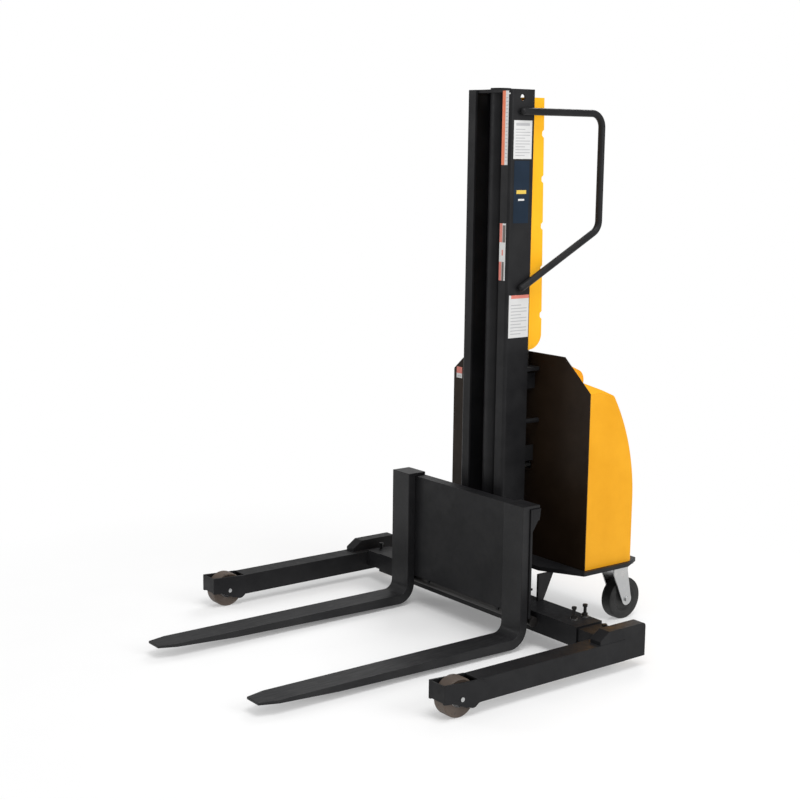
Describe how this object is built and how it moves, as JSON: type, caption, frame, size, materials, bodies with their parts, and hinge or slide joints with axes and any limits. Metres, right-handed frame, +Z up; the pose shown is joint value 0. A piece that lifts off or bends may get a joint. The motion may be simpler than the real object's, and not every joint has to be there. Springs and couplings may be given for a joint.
{
  "type": "walkie stacker",
  "caption": "Narrow-mast walkie stacker with adjustable forks, telescoping straddle legs, a covered power unit, a push handle and swivel casters.",
  "frame": {"origin": "centre of the footprint on the floor, under the middle of the bounding box", "axes": "+Z up; -Y points forward along the forks to their tips; +Y points to the operator; +X is the side that carries the push handle"},
  "size_m": [1.514, 1.77, 2.013],
  "materials": {
    "frame_black": "satin powder coat",
    "cover_yellow": "moulded semi-gloss",
    "fork_steel": "scuffed black paint",
    "zinc": "zinc plated",
    "steel": "machined",
    "chrome_rod": "hard chrome",
    "chain": "oiled",
    "load_tread": "cast polyurethane",
    "caster_tread": "satin",
    "black_plastic": "matt",
    "battery_case": "matt",
    "unit_paint": "satin paint",
    "red_plastic": "gloss",
    "yellow_plastic": "gloss",
    "hose_rubber": "matt",
    "label_film": "printed film"
  },
  "bodies": {
    "chassis": {"crossbeam": "frame_black", "base_plates": "frame_black", "mast_upright_left": "frame_black", "mast_upright_right": "frame_black", "mast_spine": "frame_black", "mast_top_tie": "frame_black", "platform": "frame_black", "back_plate": "frame_black", "panel_brackets": "frame_black", "power_cover": "cover_yellow", "console": "cover_yellow", "battery_gauge": "black_plastic", "key_barrel": "zinc", "stop_collar": "yellow_plastic", "lever_boot": "hose_rubber", "batteries": "battery_case", "pump_motor": "unit_paint", "hydraulic_tank": "unit_paint", "valve_block": "steel", "charger": "unit_paint", "power_shelf": "unit_paint", "hydraulic_hose": "hose_rubber", "cylinder_barrel": "frame_black", "chains_rear": "chain", "ram_bracket": "frame_black", "mast_guard": "cover_yellow", "push_handle": "frame_black", "decals": "label_film", "clamp_bolts": "steel", "caster_plates": "zinc", "fasteners": "zinc"},
    "carriage": {"carriage_plate": "frame_black", "carriage_frame": "frame_black", "lower_bar": "steel", "chains_front": "chain"},
    "fork_left": {"fork_left": "fork_steel"},
    "fork_right": {"fork_right": "fork_steel"},
    "rollers_upper": {"rollers_upper": "steel"},
    "rollers_lower": {"rollers_lower": "steel"},
    "crosshead": {"crosshead": "unit_paint", "piston_rod": "chrome_rod", "chain_wraps": "chain"},
    "sheaves": {"chain_sheaves": "steel"},
    "leg_left": {"leg_beam_left": "frame_black", "leg_tube_left": "frame_black", "wheel_bracket_left": "frame_black", "load_axle_left": "zinc"},
    "leg_right": {"leg_beam_right": "frame_black", "leg_tube_right": "frame_black", "wheel_bracket_right": "frame_black", "load_axle_right": "zinc"},
    "load_wheel_left": {"load_wheel_left": "load_tread"},
    "load_wheel_right": {"load_wheel_right": "load_tread"},
    "caster_left": {"caster_fork_left": "zinc"},
    "caster_right": {"caster_fork_right": "zinc"},
    "caster_wheel_left": {"caster_wheel_left": "caster_tread"},
    "caster_wheel_right": {"caster_wheel_right": "caster_tread"},
    "control_lever": {"control_lever": "black_plastic"},
    "key": {"key": "steel"},
    "stop_button": {"stop_button": "red_plastic"}
  },
  "joints": [
    {"name": "carriage_lift", "type": "slide", "parent": "chassis", "child": "carriage", "axis": [0, 0, 1], "range_m": [0, 1.5], "deforming": ["chains_front"]},
    {"name": "crosshead_lift", "type": "slide", "parent": "chassis", "child": "crosshead", "axis": [0, 0, 1], "range_m": [0, 0.75], "deforming": ["chains_rear"]},
    {"name": "sheave_turn", "type": "hinge", "parent": "crosshead", "child": "sheaves", "pos_m": [0, 0.484, 1.062], "axis": [1, 0, 0], "range_deg": [-1442, 0]},
    {"name": "upper_roller_turn", "type": "hinge", "parent": "carriage", "child": "rollers_upper", "pos_m": [0, 0.401, 0.42], "axis": [1, 0, 0], "range_deg": [0, 1853]},
    {"name": "lower_roller_turn", "type": "hinge", "parent": "carriage", "child": "rollers_lower", "pos_m": [0, 0.401, 0.19], "axis": [1, 0, 0], "range_deg": [-1853, 0]},
    {"name": "fork_left_slide", "type": "slide", "parent": "carriage", "child": "fork_left", "axis": [-1, 0, 0], "range_m": [-0.25, 0]},
    {"name": "fork_right_slide", "type": "slide", "parent": "carriage", "child": "fork_right", "axis": [1, 0, 0], "range_m": [-0.25, 0]},
    {"name": "leg_left_slide", "type": "slide", "parent": "chassis", "child": "leg_left", "axis": [-1, 0, 0], "range_m": [-0.06, 0.1]},
    {"name": "load_wheel_left_roll", "type": "hinge", "parent": "leg_left", "child": "load_wheel_left", "pos_m": [-0.714, -0.364, 0.066], "axis": [1, 0, 0], "continuous": true},
    {"name": "caster_left_swivel", "type": "hinge", "parent": "chassis", "child": "caster_left", "pos_m": [-0.312, 0.759, 0.21], "axis": [0, 0, 1], "continuous": true},
    {"name": "caster_wheel_left_roll", "type": "hinge", "parent": "caster_left", "child": "caster_wheel_left", "pos_m": [-0.312, 0.803, 0.082], "axis": [1, 0, 0], "continuous": true},
    {"name": "leg_right_slide", "type": "slide", "parent": "chassis", "child": "leg_right", "axis": [1, 0, 0], "range_m": [-0.06, 0.1]},
    {"name": "load_wheel_right_roll", "type": "hinge", "parent": "leg_right", "child": "load_wheel_right", "pos_m": [0.714, -0.364, 0.066], "axis": [1, 0, 0], "continuous": true},
    {"name": "caster_right_swivel", "type": "hinge", "parent": "chassis", "child": "caster_right", "pos_m": [0.312, 0.759, 0.21], "axis": [0, 0, 1], "continuous": true},
    {"name": "caster_wheel_right_roll", "type": "hinge", "parent": "caster_right", "child": "caster_wheel_right", "pos_m": [0.312, 0.803, 0.082], "axis": [1, 0, 0], "continuous": true},
    {"name": "lever_tilt", "type": "hinge", "parent": "chassis", "child": "control_lever", "pos_m": [0.035, 0.62647, 0.99335], "axis": [1, 0, 0], "range_deg": [-12, 12], "stiffness_Nm_per_rad": 1.2},
    {"name": "key_turn", "type": "hinge", "parent": "chassis", "child": "key", "pos_m": [-0.045, 0.62607, 0.99244], "axis": [0, 0.4067, 0.9135], "range_deg": [0, 90]},
    {"name": "stop_press", "type": "slide", "parent": "chassis", "child": "stop_button", "axis": [0, -0.4067, -0.9135], "range_m": [0, 0.006], "stiffness_N_per_m": 900}
  ],
  "couplings": [
    {"joint": "crosshead_lift", "follows": "carriage_lift", "ratio": 0.5},
    {"joint": "sheave_turn", "follows": "carriage_lift", "rad_per_m": -16.722},
    {"joint": "upper_roller_turn", "follows": "carriage_lift", "rad_per_m": 21.505},
    {"joint": "lower_roller_turn", "follows": "carriage_lift", "rad_per_m": -21.505}
  ]
}
